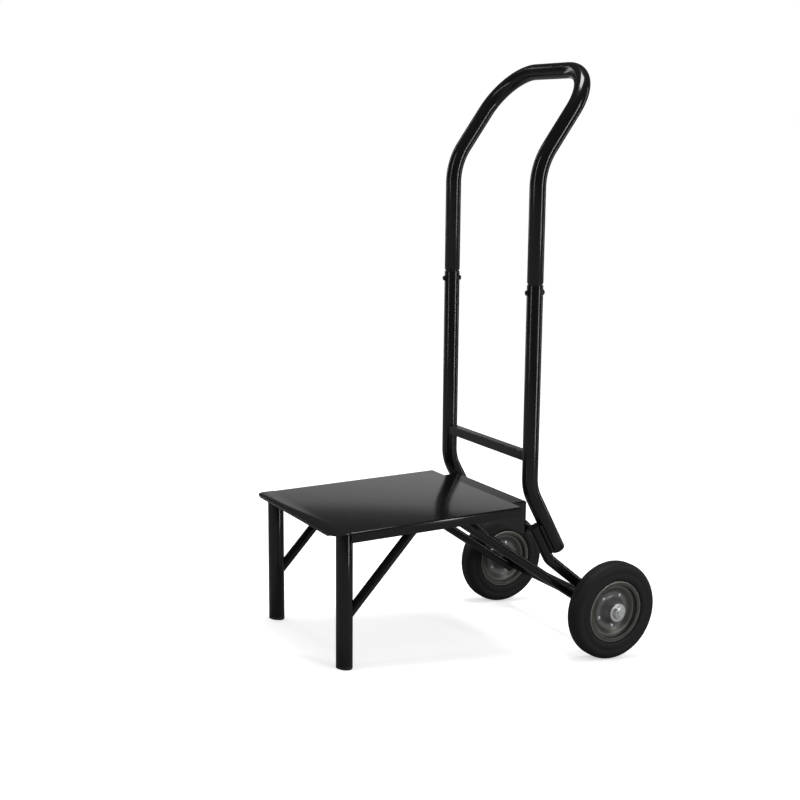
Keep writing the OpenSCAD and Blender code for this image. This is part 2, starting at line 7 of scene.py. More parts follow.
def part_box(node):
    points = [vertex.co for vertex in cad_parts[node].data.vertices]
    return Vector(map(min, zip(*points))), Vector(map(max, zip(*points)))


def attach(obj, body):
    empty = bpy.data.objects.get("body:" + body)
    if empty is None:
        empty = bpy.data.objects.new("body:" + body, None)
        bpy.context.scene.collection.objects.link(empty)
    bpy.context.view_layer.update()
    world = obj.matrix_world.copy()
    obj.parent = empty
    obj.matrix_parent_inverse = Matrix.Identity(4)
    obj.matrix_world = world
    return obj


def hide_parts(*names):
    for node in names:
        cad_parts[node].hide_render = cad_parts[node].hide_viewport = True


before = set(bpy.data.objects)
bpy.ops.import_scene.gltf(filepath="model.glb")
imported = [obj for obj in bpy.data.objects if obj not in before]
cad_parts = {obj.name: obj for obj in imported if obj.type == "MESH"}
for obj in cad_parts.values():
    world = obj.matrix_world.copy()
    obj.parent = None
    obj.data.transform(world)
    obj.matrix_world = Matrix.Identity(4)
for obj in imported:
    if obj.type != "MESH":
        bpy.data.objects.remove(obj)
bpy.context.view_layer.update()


# Platform. One steel sheet, cut with round front corners, both sides folded down as flanges and the
# straight of the front edge hemmed underneath, then sprayed gloss black. The whole frame is modelled
# with this sheet level, and then leans forward about the axle onto its feet.
axle = sum(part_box("axle_rod"), Vector()) / 2
stance = math.radians(7)
wheelbase, leg_setback = 0.5875, 0.0355
leg_y = axle.y - wheelbase
front_y = leg_y - leg_setback
tube_r = 0.03175 / 2
upright_ahead, rear_gap = 0.1753, 0.016
upright_y = axle.y - upright_ahead
rear_y = upright_y - tube_r - rear_gap
side_x = 0.1515
fold_r, fold_gap = 0.0037, 0.0005
half_w = side_x + tube_r + fold_gap
platform_w = 2 * (half_w + fold_r)
top_z = 0.3375
flange_h = 0.0195
sheet_t, sheet_edge = 0.0025, 0.0008
lip_depth = 0.040
corner_r = 0.019
hem_w = 0.012
close = 1e-4


def pick(test, kind):
    """Selects the vertices, edges or faces of the mesh being edited whose points all pass the test."""
    bpy.ops.mesh.select_mode(type=kind)
    bpy.ops.mesh.select_all(action="DESELECT")
    mesh = bmesh.from_edit_mesh(bpy.context.object.data)
    for item in {"VERT": mesh.verts, "EDGE": mesh.edges, "FACE": mesh.faces}[kind]:
        points = [item.co] if kind == "VERT" else [v.co for v in item.verts]
        item.select_set(all(test(p) for p in points))
    bmesh.update_edit_mesh(bpy.context.object.data)


def apply_modifier(kind, **settings):
    """Adds a modifier to the active piece, sets it and applies it."""
    piece = bpy.context.object
    made = piece.modifiers.new(kind.lower(), kind)
    for name, value in settings.items():
        setattr(made, name, value)
    bpy.ops.object.modifier_apply(modifier=made.name)


bpy.ops.object.select_all(action="DESELECT")
bpy.ops.mesh.primitive_plane_add(size=1, location=(0, front_y + lip_depth / 2, top_z))
platform = bpy.context.object
platform.name = "platform_sheet"
bpy.ops.transform.resize(value=(platform_w, lip_depth, 1))
bpy.ops.object.transform_apply(location=True, rotation=True, scale=True)
bpy.ops.object.mode_set(mode="EDIT")
pick(lambda p: p.y < front_y + close, "VERT")
bpy.ops.mesh.bevel(offset=corner_r, offset_type="OFFSET", segments=10, affect="VERTICES")
for side in (1, -1):
    bpy.ops.mesh.select_all(action="SELECT")
    bpy.ops.mesh.bisect(plane_co=(side * half_w, 0, 0), plane_no=(1, 0, 0))
pick(lambda p: p.y > front_y + lip_depth - close and abs(p.x) < half_w + close, "EDGE")
bpy.ops.mesh.extrude_region_move(TRANSFORM_OT_translate={"value": (0, rear_y - front_y - lip_depth, 0)})
for side in (1, -1):
    pick(lambda p: abs(p.x - side * half_w) < close and p.y > front_y + lip_depth - close, "EDGE")
    fold = (side * half_w, 0, top_z - fold_r)
    bpy.ops.mesh.spin(steps=8, angle=-side * math.pi / 2, center=fold, axis=(0, 1, 0))
    bpy.ops.mesh.extrude_region_move(TRANSFORM_OT_translate={"value": (0, 0, fold_r - flange_h)})
bpy.ops.object.mode_set(mode="OBJECT")
apply_modifier("SOLIDIFY", thickness=sheet_t, offset=-1)
bpy.ops.object.mode_set(mode="EDIT")
bpy.ops.mesh.primitive_cube_add(
    size=1,
    location=(0, front_y + hem_w / 2, top_z - 1.5 * sheet_t),
    scale=(platform_w - 2 * corner_r, hem_w, sheet_t),
)
bpy.ops.object.mode_set(mode="OBJECT")
apply_modifier("BEVEL", width=sheet_edge, segments=3, limit_method="ANGLE", angle_limit=math.radians(50))


def place(tree, kind, **inputs):
    """Adds a node and sets or links its inputs, whose names are written with _ for a space."""
    made = tree.nodes.new(kind)
    for name, value in inputs.items():
        socket = made.inputs[name.replace("_", " ")]
        if isinstance(value, bpy.types.NodeSocket):
            tree.links.new(value, socket)
        else:
            socket.default_value = value
    return made


# The sprayed skin: a fine orange peel, slow clouds where the film is thicker, and sparse rubs.
coat_skin = bpy.data.node_groups.new("coat_skin", "ShaderNodeTree")
for name in ("Peel", "Clouds", "Rubs"):
    coat_skin.interface.new_socket(name, in_out="INPUT", socket_type="NodeSocketFloat")
for name in ("Height", "Cloud", "Rub"):
    coat_skin.interface.new_socket(name, in_out="OUTPUT", socket_type="NodeSocketFloat")
given = coat_skin.nodes.new("NodeGroupInput")
spot = place(coat_skin, "ShaderNodeTexCoord").outputs["Object"]
peel = place(coat_skin, "ShaderNodeTexNoise", Vector=spot, Scale=given.outputs["Peel"], Detail=2.0)
cloud = place(coat_skin, "ShaderNodeTexNoise", Vector=spot, Scale=given.outputs["Clouds"], Detail=4.0)
streak = place(coat_skin, "ShaderNodeMapping", Vector=spot, Scale=(1.0, 1.0, 0.35), Rotation=(0.5, 0.2, 0.0))
rub = place(
    coat_skin, "ShaderNodeTexNoise", Vector=streak.outputs[0], Scale=given.outputs["Rubs"], Detail=8.0,
)
rub_cut = place(coat_skin, "ShaderNodeMapRange", Value=rub.outputs["Fac"], From_Min=0.62, From_Max=0.74)
made = coat_skin.nodes.new("NodeGroupOutput")
coat_skin.links.new(peel.outputs["Fac"], made.inputs["Height"])
coat_skin.links.new(cloud.outputs["Fac"], made.inputs["Cloud"])
coat_skin.links.new(rub_cut.outputs[0], made.inputs["Rub"])


def two_shades(tree, mask, dark, pale):
    """Colours a finish by a mask, from its dark shade to its pale one."""
    shade = place(tree, "ShaderNodeMix", Factor=mask)
    shade.data_type = "RGBA"
    shade.inputs[6].default_value = (*dark, 1)
    shade.inputs[7].default_value = (*pale, 1)
    tree.links.new(shade.outputs[2], tree.nodes["Principled BSDF"].inputs["Base Color"])


def bumped(tree, height, depth):
    """Gives a finish the bumps of a height pattern, which are that deep."""
    bump = place(tree, "ShaderNodeBump", Strength=1.0, Distance=depth, Height=height)
    tree.links.new(bump.outputs[0], tree.nodes["Principled BSDF"].inputs["Normal"])


def sprayed(name, dark, pale, smooth, rough, peel_size, peel_depth):
    """A sprayed finish: two near shades in clouds, a roughness range, rubs and orange peel."""
    finish = bpy.data.materials.new(name)
    finish.use_nodes = True
    tree = finish.node_tree
    skin = place(tree, "ShaderNodeGroup")
    skin.node_tree = coat_skin
    skin.inputs["Peel"].default_value = peel_size
    skin.inputs["Clouds"].default_value = 9.0
    skin.inputs["Rubs"].default_value = 45.0
    two_shades(tree, skin.outputs["Cloud"], dark, pale)
    gloss = place(
        tree, "ShaderNodeMapRange", Value=skin.outputs["Cloud"],
        From_Min=0.3, From_Max=0.7, To_Min=smooth, To_Max=rough,
    )
    rubbed = place(tree, "ShaderNodeMath", Value=skin.outputs["Rub"])
    rubbed.operation = "MULTIPLY_ADD"
    rubbed.inputs[1].default_value = 0.05
    tree.links.new(gloss.outputs[0], rubbed.inputs[2])
    tree.links.new(rubbed.outputs[0], tree.nodes["Principled BSDF"].inputs["Roughness"])
    bumped(tree, skin.outputs["Height"], peel_depth)
    return finish


gloss_black = sprayed(
    "gloss_black_sheet", dark=(0.0045, 0.0045, 0.0048), pale=(0.008, 0.008, 0.0085),
    smooth=0.14, rough=0.17, peel_size=420.0, peel_depth=0.000012,
)


lean = Matrix.Translation(axle) @ Matrix.Rotation(stance, 4, "X") @ Matrix.Translation(-axle)


def fit(piece, body, slot, finish, *nodes):
    """Leans a frame piece onto its feet, freezes it at the origin, finishes it and hangs it on its body."""
    bpy.ops.object.select_all(action="DESELECT")
    piece.select_set(True)
    bpy.context.view_layer.objects.active = piece
    bpy.context.view_layer.update()
    if body == "frame":
        piece.matrix_world = lean @ piece.matrix_world
    bpy.ops.object.transform_apply(location=True, rotation=True, scale=True)
    bpy.ops.object.shade_smooth_by_angle(angle=math.radians(35))
    piece.data.materials.clear()
    piece.data.materials.append(finish)
    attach(piece, body)
    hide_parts(*nodes)


fit(platform, "frame", "gloss_black_paint", gloss_black, "platform_tray")


# Legs. Two straight lengths of 1 1/4 in steel tube, welded square to the underside of the sheet
# and powder coated satin black with the rest of the frame.
tube_wall = 0.0016
leg_floor_z = axle.z - (axle.z - wheelbase * math.sin(stance)) / math.cos(stance)
foot_h = 0.006


def drawn_tube(name, radius, wall, points, bends=()):
    """A tube drawn along points: a ring pushed along each straight and swung round each bend."""
    points = [Vector(p) for p in points]
    ways = [(b - a).normalized() for a, b in zip(points, points[1:])]
    bpy.ops.object.select_all(action="DESELECT")
    bpy.ops.mesh.primitive_circle_add(
        vertices=48, radius=radius, location=points[0], rotation=ways[0].to_track_quat("Z", "Y").to_euler(),
    )
    tube = bpy.context.object
    tube.name = name
    bpy.ops.object.mode_set(mode="EDIT")
    bpy.ops.mesh.select_all(action="SELECT")
    here = points[0]
    for corner, before, after, bend in zip(points[1:], ways, ways[1:], bends):
        turn = before.angle(after)
        start = corner - before * bend * math.tan(turn / 2)
        inward = (after - before * before.dot(after)).normalized()
        bpy.ops.mesh.extrude_region_move(TRANSFORM_OT_translate={"value": start - here})
        bpy.ops.mesh.spin(
            steps=max(6, round(math.degrees(turn) / 3)), angle=-turn,
            center=start + inward * bend, axis=before.cross(after).normalized(),
        )
        here = corner + after * bend * math.tan(turn / 2)
    bpy.ops.mesh.extrude_region_move(TRANSFORM_OT_translate={"value": points[-1] - here})
    bpy.ops.mesh.select_all(action="SELECT")
    bpy.ops.mesh.normals_make_consistent(inside=False)
    bpy.ops.object.mode_set(mode="OBJECT")
    apply_modifier("SOLIDIFY", thickness=wall, offset=-1)
    apply_modifier("BEVEL", width=wall * 0.2, segments=2, limit_method="ANGLE", angle_limit=math.radians(60))
    return tube


powder_black = sprayed(
    "satin_black_powder_coat", dark=(0.0045, 0.0045, 0.0048), pale=(0.008, 0.008, 0.0085),
    smooth=0.14, rough=0.21, peel_size=520.0, peel_depth=0.000008,
)


def copied(piece, name, move):
    """A copy of a piece with a mesh of its own, set that far from it."""
    bpy.ops.object.select_all(action="DESELECT")
    piece.select_set(True)
    bpy.context.view_layer.objects.active = piece
    bpy.ops.object.duplicate()
    bpy.ops.transform.translate(value=move)
    copy = bpy.context.object
    copy.name = name
    return copy


def pair(piece, apart):
    """A piece of the left side and its copy straight across on the right, each with its side."""
    stem = piece.name
    other = copied(piece, stem + "_right", (-apart, 0, 0))
    piece.name = stem + "_left"
    return (piece, "left"), (other, "right")


leg = drawn_tube(
    "leg_tube", tube_r, tube_wall,
    [(side_x, leg_y, leg_floor_z + foot_h), (side_x, leg_y, top_z - sheet_t)],
)
for leg, hand in pair(leg, 2 * side_x):
    fit(leg, "frame", "black_powder_coat", powder_black, "front_leg_" + hand)


# Leg feet. Moulded black plastic plugs pushed into the legs, with a round-edged pad below the tube
# whose sole is flat on the floor, a little out of square with the leaning leg.
plug_len = 0.018
sole_round, sole_edge = 0.0025, 0.0008
seat_gap = 0.00005


def turned(name, section, edge, centre, out, steps=64):
    """A piece turned on a lathe: a closed section of (radius, height) points, its corners rounded by
    edge, swung once round its axis and then set at centre with its heights running along out."""
    speck = 1e-6
    bpy.ops.object.select_all(action="DESELECT")
    bpy.ops.mesh.primitive_circle_add(vertices=len(section), radius=0.01)
    piece = bpy.context.object
    piece.name = name
    for vertex, (radius, height) in zip(piece.data.vertices, section):
        vertex.co = (radius, 0, height)
    bpy.ops.object.mode_set(mode="EDIT")
    if edge:
        pick(lambda p: p.x > speck, "VERT")
        bpy.ops.mesh.bevel(offset=edge, offset_type="OFFSET", segments=3, affect="VERTICES")
    bpy.ops.mesh.select_all(action="SELECT")
    bpy.ops.mesh.spin(steps=steps, angle=2 * math.pi, center=(0, 0, 0), axis=(0, 0, 1))
    bpy.ops.mesh.select_all(action="SELECT")
    bpy.ops.mesh.remove_doubles(threshold=speck)
    bpy.ops.mesh.dissolve_degenerate(threshold=speck)
    bpy.ops.mesh.select_all(action="SELECT")
    bpy.ops.mesh.normals_make_consistent(inside=False)
    bpy.ops.object.mode_set(mode="OBJECT")
    piece.rotation_euler = Vector(out).to_track_quat("Z", "Y").to_euler()
    piece.location = centre
    return piece


def new_finish(name):
    """A new material, its nodes, and the place on the piece that its patterns follow."""
    finish = bpy.data.materials.new(name)
    finish.use_nodes = True
    tree = finish.node_tree
    return finish, tree, place(tree, "ShaderNodeTexCoord").outputs["Object"]


def glossed(tree, mask, smooth, rough):
    """Gives a finish a roughness that follows a mask."""
    gloss = place(tree, "ShaderNodeMapRange", Value=mask, To_Min=smooth, To_Max=rough)
    tree.links.new(gloss.outputs[0], tree.nodes["Principled BSDF"].inputs["Roughness"])


plastic_black, tree, spot = new_finish("moulded_black_plastic")
grain = place(tree, "ShaderNodeTexNoise", Vector=spot, Scale=1400.0, Detail=3.0).outputs["Fac"]
dust = place(tree, "ShaderNodeTexNoise", Vector=spot, Scale=60.0, Detail=6.0).outputs["Fac"]
two_shades(tree, dust, dark=(0.010, 0.010, 0.011), pale=(0.024, 0.024, 0.024))
glossed(tree, dust, smooth=0.42, rough=0.62)
bumped(tree, grain, depth=0.00006)

bore_r = tube_r - tube_wall - seat_gap
pad = foot_h + tube_r * math.tan(stance)
foot = turned(
    "leg_foot_plug",
    [(0, -pad), (tube_r - sole_round, -pad), (tube_r - sole_edge, sole_edge - pad),
     (tube_r, sole_round - pad), (tube_r, -seat_gap), (bore_r, -seat_gap), (bore_r, plug_len), (0, plug_len)],
    edge=0.0003, centre=(side_x, leg_y, leg_floor_z + foot_h), out=(0, 0, 1),
)
bpy.ops.object.transform_apply(location=True, rotation=True, scale=True)
bpy.ops.object.mode_set(mode="EDIT")
bpy.ops.mesh.select_all(action="SELECT")
bpy.ops.mesh.bisect(
    plane_co=(side_x, leg_y, leg_floor_z), plane_no=(0, math.sin(stance), math.cos(stance)),
    use_fill=True, clear_inner=True,
)
bpy.ops.object.mode_set(mode="OBJECT")
for foot, hand in pair(foot, 2 * side_x):
    fit(foot, "frame", "black_plastic", plastic_black, "leg_foot_" + hand)


# Braces, struts, axle sleeve, arms, rear rail, tie plate and cross bar. Cut tube and folded sheet,
# coped where tube meets tube and welded up in a jig, then powder coated in one piece.
for name in (
    "leg_brace_left", "leg_brace_right", "strut_left", "strut_right", "axle_sleeve",
    "axle_arm_left", "axle_arm_right", "rear_rail", "tie_plate", "cross_bar",
):
    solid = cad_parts[name]
    solid.data.materials.clear()
    solid.data.materials.append(powder_black)


# Arm plugs. Flat moulded caps of black plastic with a low rolled edge, pushed into the open tops of the
# arms so that no cut edge shows beside the uprights.
tail_lean = math.radians(28.6)
tail_way = Vector((0, math.sin(tail_lean), -math.cos(tail_lean)))
tail_front = Vector((0, -math.cos(tail_lean), -math.sin(tail_lean)))
arm_r, arm_wall = 0.0222 / 2, 0.0016
arm_bore_r = arm_r - arm_wall - seat_gap
arm_offset = tube_r + arm_r + seat_gap
arm_drop, bend_z = 0.07648, 0.3655
bend_corner = Vector((side_x, upright_y, bend_z))
cap_h, cap_dish = 0.002, 0.0003
rolled_edge = [
    (arm_r - 2 * cap_h, cap_dish - cap_h), (arm_r - 1.6 * cap_h, -cap_h),
    (arm_r - 0.7 * cap_h, -0.95 * cap_h), (arm_r - 0.15 * cap_h, -cap_h / 2),
]
cap = turned(
    "arm_cap",
    [(0, cap_dish - cap_h), *rolled_edge, (arm_r, -seat_gap), (arm_bore_r, -seat_gap), (arm_bore_r, plug_len),
     (0, plug_len)],
    edge=0.0002, centre=bend_corner + tail_way * arm_drop + tail_front * arm_offset, out=tail_way,
)
for cap, hand in pair(cap, 2 * side_x):
    fit(cap, "frame", "black_plastic", plastic_black, "arm_plug_" + hand)


# Uprights. 1 1/4 in tube bent once near the foot, so that its tail lies along the back of the arm.
# The top is left open and square for the handle's neck, with a hole through it for the bolt.
joint_z = 0.770
tail_len, upright_bend = 0.14777, 0.088
tail_end = bend_corner + tail_way * tail_len
upright = drawn_tube(
    "upright_tube", tube_r, tube_wall, [(side_x, upright_y, joint_z), bend_corner, tail_end], [upright_bend],
)
for upright, hand in pair(upright, 2 * side_x):
    fit(upright, "frame", "black_powder_coat", powder_black, "upright_" + hand)


# Upright plugs. Domed moulded caps of black plastic, pushed into the lower ends of the tails until their
# rims meet the cut tube.
dome_h, dome_r = 0.004, 0.003
dome_edge = [
    (tube_r + dome_r * (math.sin(a) - 1), dome_r - dome_h - dome_r * math.cos(a))
    for a in (0, 0.35, 0.7, 1.05, 1.4)
]
cap = turned(
    "upright_cap",
    [(0, -dome_h), *dome_edge, (tube_r, -seat_gap), (bore_r, -seat_gap), (bore_r, plug_len), (0, plug_len)],
    edge=0, centre=tail_end, out=-tail_way,
)
for cap, hand in pair(cap, 2 * side_x):
    fit(cap, "frame", "black_plastic", plastic_black, "upright_plug_" + hand)


# Weld beads. A run of overlapping puddles that fills the valley on each side of a tail and its arm,
# laid by hand and painted over with the frame.
bead_start, bead_r = 0.0797, 0.0044
weld_shift, weld_x = 0.01643, 0.0082
puddle_step, puddle_count, puddle_flat = 0.0019, 34, 0.8
bpy.ops.object.select_all(action="DESELECT")
bpy.ops.mesh.primitive_uv_sphere_add(
    segments=20, ring_count=10, radius=bead_r, rotation=(-tail_lean, 0, 0), scale=(1, 1, puddle_flat),
    location=bend_corner + tail_front * weld_shift + tail_way * bead_start + Vector((weld_x, 0, 0)),
)
bead = bpy.context.object
bpy.ops.object.transform_apply(location=True, rotation=True, scale=True)
apply_modifier(
    "ARRAY", count=puddle_count, use_relative_offset=False, use_constant_offset=True,
    constant_offset_displace=tail_way * puddle_step,
)
bead.data.remesh_voxel_size = 0.0005
bpy.ops.object.voxel_remesh()
bpy.ops.object.mode_set(mode="EDIT")
bpy.ops.mesh.select_all(action="SELECT")
bpy.ops.mesh.vertices_smooth(factor=0.5, repeat=2)
bpy.ops.object.mode_set(mode="OBJECT")
bead.name = "weld_bead"
near_bead = copied(bead, "weld_bead_near", (-2 * weld_x, 0, 0))
for bead, _ in (*pair(bead, 2 * side_x), *pair(near_bead, 2 * side_x)):
    fit(bead, "frame", "black_powder_coat", powder_black, "weld_beads")


# Handle. One length of 1 1/4 in tube bent four times into a loop that leans back to the user. Both
# ends are swaged down to slide into the uprights, which leaves a narrow groove at each joint.
handle_lean = math.radians(36.2)
handle_rise = 0.1835
grip_z = 1.180
lean_bend, grip_bend = 0.127, 0.097
neck_len, neck_gap, neck_show = 0.050, 0.00015, 0.0015
neck_cone, cone_round = 0.0045, 0.0012
neck_top = joint_z + neck_show
cone_top = neck_top + neck_cone
grip_y = upright_y + handle_rise * math.tan(handle_lean)
points = [(side_x, upright_y, cone_top), (side_x, upright_y, grip_z - handle_rise), (side_x, grip_y, grip_z)]
points += [(-x, y, z) for x, y, z in reversed(points)]
loop = drawn_tube("handle_tube", tube_r, tube_wall, points, [lean_bend, grip_bend, grip_bend, lean_bend])
fit(loop, "frame", "black_powder_coat", powder_black, "handle_loop")
neck_r = tube_r - tube_wall - neck_gap
neck_low = joint_z - neck_len
neck = turned(
    "handle_neck",
    [(neck_r - tube_wall, neck_low), (neck_r, neck_low), (neck_r, neck_top),
     (tube_r - cone_round / 3, cone_top - cone_round), (tube_r, cone_top), (tube_r - tube_wall, cone_top),
     (neck_r - tube_wall, neck_top)],
    edge=0.0002, centre=(side_x, upright_y, 0), out=(0, 0, 1),
)
for neck, _ in pair(neck, 2 * side_x):
    fit(neck, "frame", "black_powder_coat", powder_black, "handle_loop")


# Handle bolts. M6 hex bolts through each joint from the back, with a plain nut in front, zinc plated
# and painted over with the frame where they show.
def hexagon(name, across_flats, bore_r, height, centre, out):
    """A hex nut or bolt head: a six-sided bar cut off and chamfered on the lathe at both ends."""
    corner = across_flats / math.sqrt(3)
    chamfer = across_flats * 0.07
    face_r, blank_r = across_flats * 0.48, corner * 1.01
    blank = turned(
        name,
        [(bore_r, 0), (face_r, 0), (blank_r, chamfer), (blank_r, height - chamfer), (face_r, height),
         (bore_r, height)],
        edge=0, centre=(0, 0, 0), out=(0, 0, 1),
    )
    bpy.ops.object.select_all(action="DESELECT")
    bpy.ops.mesh.primitive_cylinder_add(
        vertices=6, radius=corner, depth=height * 3,
        location=(0, 0, height / 2), rotation=(0, 0, math.pi / 6),
    )
    bar = bpy.context.object
    bpy.ops.object.select_all(action="DESELECT")
    blank.select_set(True)
    bpy.context.view_layer.objects.active = blank
    apply_modifier("BOOLEAN", operation="INTERSECT", object=bar, solver="EXACT")
    apply_modifier("BEVEL", width=0.0002, segments=2, limit_method="ANGLE", angle_limit=math.radians(40))
    bpy.data.objects.remove(bar)
    blank.rotation_euler = Vector(out).to_track_quat("Z", "Y").to_euler()
    blank.location = centre
    return blank


bolt_drop, bolt_r, bolt_af = 0.014, 0.003, 0.00975
bolt_end, bolt_tip = 0.0016, 0.0007
head_h, bolt_nut_h = 0.00396, 0.0048
bolt_z = joint_z - bolt_drop
head_at = (side_x, upright_y + tube_r + head_h, bolt_z)
head = hexagon("handle_bolt_head", bolt_af, 0, head_h, head_at, (0, -1, 0))
shank_len = 2 * tube_r + bolt_nut_h + bolt_end
shank = turned(
    "handle_bolt_shank",
    [(0, 0), (bolt_r, 0), (bolt_r, shank_len - bolt_tip), (bolt_r * 0.8, shank_len), (0, shank_len)],
    edge=0, centre=(side_x, upright_y + tube_r, bolt_z), out=(0, -1, 0), steps=24,
)
for bolt, _ in (*pair(head, 2 * side_x), *pair(shank, 2 * side_x)):
    fit(bolt, "frame", "black_powder_coat", powder_black, "handle_bolts")
nut_at = (side_x, upright_y - tube_r, bolt_z)
nut = hexagon("handle_nut", bolt_af, bolt_r + seat_gap, bolt_nut_h, nut_at, (0, -1, 0))
for nut, _ in pair(nut, 2 * side_x):
    fit(nut, "frame", "black_powder_coat", powder_black, "handle_nuts")


# Axle. A 5/8 in bright zinc-plated rod with rolled threads on its ends. A plain washer lies on each
# side of each wheel, and a hex nut closes each end.
zinc, tree, spot = new_finish("bright_zinc_plate")
tree.nodes["Principled BSDF"].inputs["Metallic"].default_value = 0.75
patch = place(tree, "ShaderNodeTexNoise", Vector=spot, Scale=180.0, Detail=5.0).outputs["Fac"]
scratch = place(tree, "ShaderNodeTexNoise", Vector=spot, Scale=900.0, Detail=2.0).outputs["Fac"]
two_shades(tree, patch, dark=(0.62, 0.63, 0.62), pale=(0.84, 0.85, 0.86))
glossed(tree, patch, smooth=0.22, rough=0.42)
bumped(tree, scratch, depth=0.00003)

rod_r, rod_taper = 0.015875 / 2, 0.0016
rod_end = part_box("axle_rod")[1].x
thread_start, thread_pitch, thread_depth, thread_turns = 0.0012, 0.0014, 0.0009, 11
thread = [(0, -rod_end), (rod_r - rod_taper, -rod_end)]
for i in range(thread_turns):
    root = thread_start + thread_pitch * i - rod_end
    thread += [(rod_r - thread_depth, root), (rod_r, root + thread_pitch / 2)]
section = thread + [(r, -h) for r, h in reversed(thread)]
rod = turned("axle_bar", section, edge=0, centre=axle, out=(1, 0, 0), steps=48)
fit(rod, "frame", "zinc_plate", zinc, "axle_rod")
washer_r, washer_t, washer_gap = 0.019, 0.002, 0.00025
washer_bore_r = rod_r + washer_gap
outer_x, inner_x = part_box("outer_washers")[1].x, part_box("inner_washers")[1].x
washer = turned(
    "outer_washer",
    [(washer_bore_r, 0), (washer_r, 0), (washer_r, washer_t), (washer_bore_r, washer_t)],
    edge=0.0004, centre=axle + Vector((outer_x - washer_t, 0, 0)), out=(1, 0, 0),
)
inner = copied(washer, "inner_washer", (inner_x - outer_x, 0, 0))
for washer, _ in pair(washer, 2 * outer_x - washer_t):
    fit(washer, "frame", "zinc_plate", zinc, "outer_washers")
for washer, _ in pair(inner, 2 * inner_x - washer_t):
    fit(washer, "frame", "zinc_plate", zinc, "inner_washers")
nut_af, nut_h = 0.022, 0.007
nut_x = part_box("axle_nuts")[1].x - nut_h
nut = hexagon("axle_nut", nut_af, rod_r + seat_gap, nut_h, axle + Vector((nut_x, 0, 0)), (1, 0, 0))
for nut, _ in pair(nut, 2 * nut_x + nut_h):
    fit(nut, "frame", "zinc_plate", zinc, "axle_nuts")


# Tyres. Solid moulded rubber with a smooth round-shouldered tread, flat side walls with a shallow ring
# groove, a mould line round the middle, and a bead that sits between the rim's two lips.
rubber, tree, spot = new_finish("matte_black_rubber")
tree.nodes["Principled BSDF"].inputs["Specular IOR Level"].default_value = 0.35
bloom = place(tree, "ShaderNodeTexNoise", Vector=spot, Scale=22.0, Detail=6.0).outputs["Fac"]
pore = place(tree, "ShaderNodeTexNoise", Vector=spot, Scale=1100.0, Detail=3.0).outputs["Fac"]
two_shades(tree, bloom, dark=(0.0075, 0.0075, 0.0075), pale=(0.0135, 0.0135, 0.0135))
glossed(tree, bloom, smooth=0.55, rough=0.75)
bumped(tree, pore, depth=0.00008)

wheel_x = 0.20135
wheel_at = axle + Vector((wheel_x, 0, 0))
wheel_r, seat_r, side_h, shoulder_r = 0.1016, 0.0578, 0.019, 0.013
bead_h, tread_h, groove = 0.01395, 0.0059, 0.0003
side_foot = [(0.0640, bead_h), (0.0647, 0.0149), (0.0662, 0.0172), (0.0690, 0.0186), (0.0725, side_h)]
ring_groove = [
    (0.0800, side_h), (0.0806, side_h - groove), (0.0814, side_h - groove), (0.0820, side_h - groove / 3),
]
half = [(seat_r, 0.0), (seat_r, bead_h), *side_foot, *ring_groove]
shoulder_arc, shoulder_steps = math.radians(87.6), 12
for i in range(shoulder_steps + 1):
    a = shoulder_arc * i / shoulder_steps
    half.append((wheel_r - shoulder_r * (1 - math.sin(a)), tread_h + shoulder_r * math.cos(a)))
half += [(wheel_r - 0.00004, 0.0050), (wheel_r, 0.0008), (wheel_r - groove, 0.0006), (wheel_r - groove, 0.0)]
section = half + [(r, -h) for r, h in reversed(half[1:-1])]
tyre = turned("rubber_tyre", section, edge=0, centre=wheel_at, out=(1, 0, 0), steps=128)
for tyre, hand in pair(tyre, 2 * wheel_x):
    fit(tyre, "wheel_" + hand, "tyre_rubber", rubber, "tyre_" + hand)


# Rims. Two dished steel stampings set back to back and riveted together, sprayed a warm grey. Each has
# a boss that rises to the hub, a flat web, a cone, a flat ring, the tyre's seat and a lip. The grey
# carries painted shade in the hollows and painted highlights on the cone's crest and the lip's edge.
rim_grey, tree, spot = new_finish("warm_grey_rim_paint")
shader = tree.nodes["Principled BSDF"]
shader.inputs["Metallic"].default_value = 0.55
centred = place(tree, "ShaderNodeVectorMath")
centred.operation = "SUBTRACT"
tree.links.new(spot, centred.inputs[0])
centred.inputs[1].default_value = (0, axle.y, axle.z)
flat = place(tree, "ShaderNodeVectorMath")
flat.operation = "MULTIPLY"
tree.links.new(centred.outputs[0], flat.inputs[0])
flat.inputs[1].default_value = (0, 1, 1)
reach = place(tree, "ShaderNodeVectorMath")
reach.operation = "LENGTH"
tree.links.new(flat.outputs[0], reach.inputs[0])
clouds = place(tree, "ShaderNodeTexNoise", Vector=spot, Scale=60.0, Detail=6.0).outputs["Fac"]
grit = place(tree, "ShaderNodeTexNoise", Vector=spot, Scale=800.0, Detail=2.0).outputs["Fac"]

# From the hub outward: the boss a little lighter than the plain web, painted shade at the cone's foot, a
# painted highlight on its crest, painted shade over the flat ring and the lip's face, and a painted highlight
# on the lip's outer edge.
ring = place(tree, "ShaderNodeMapRange", Value=reach.outputs["Value"], From_Min=0.015, From_Max=0.065)
rim_shade_and_highlight_rings = place(tree, "ShaderNodeValToRGB", Fac=ring.outputs[0])
stops = rim_shade_and_highlight_rings.color_ramp.elements
stops[0].position, stops[0].color = 0.06, (0.20, 0.20, 0.205, 1)
stops[1].position, stops[1].color = 0.965, (0.42, 0.42, 0.40, 1)
for position, colour in (
    (0.44, (0.175, 0.175, 0.177)), (0.56, (0.085, 0.086, 0.077)), (0.68, (0.105, 0.106, 0.097)),
    (0.71, (0.190, 0.190, 0.180)), (0.76, (0.090, 0.091, 0.080)), (0.935, (0.082, 0.083, 0.071)),
):
    stops.new(position).color = (*colour, 1)
film = place(tree, "ShaderNodeMapRange", Value=clouds, To_Min=0.7, To_Max=1.3)
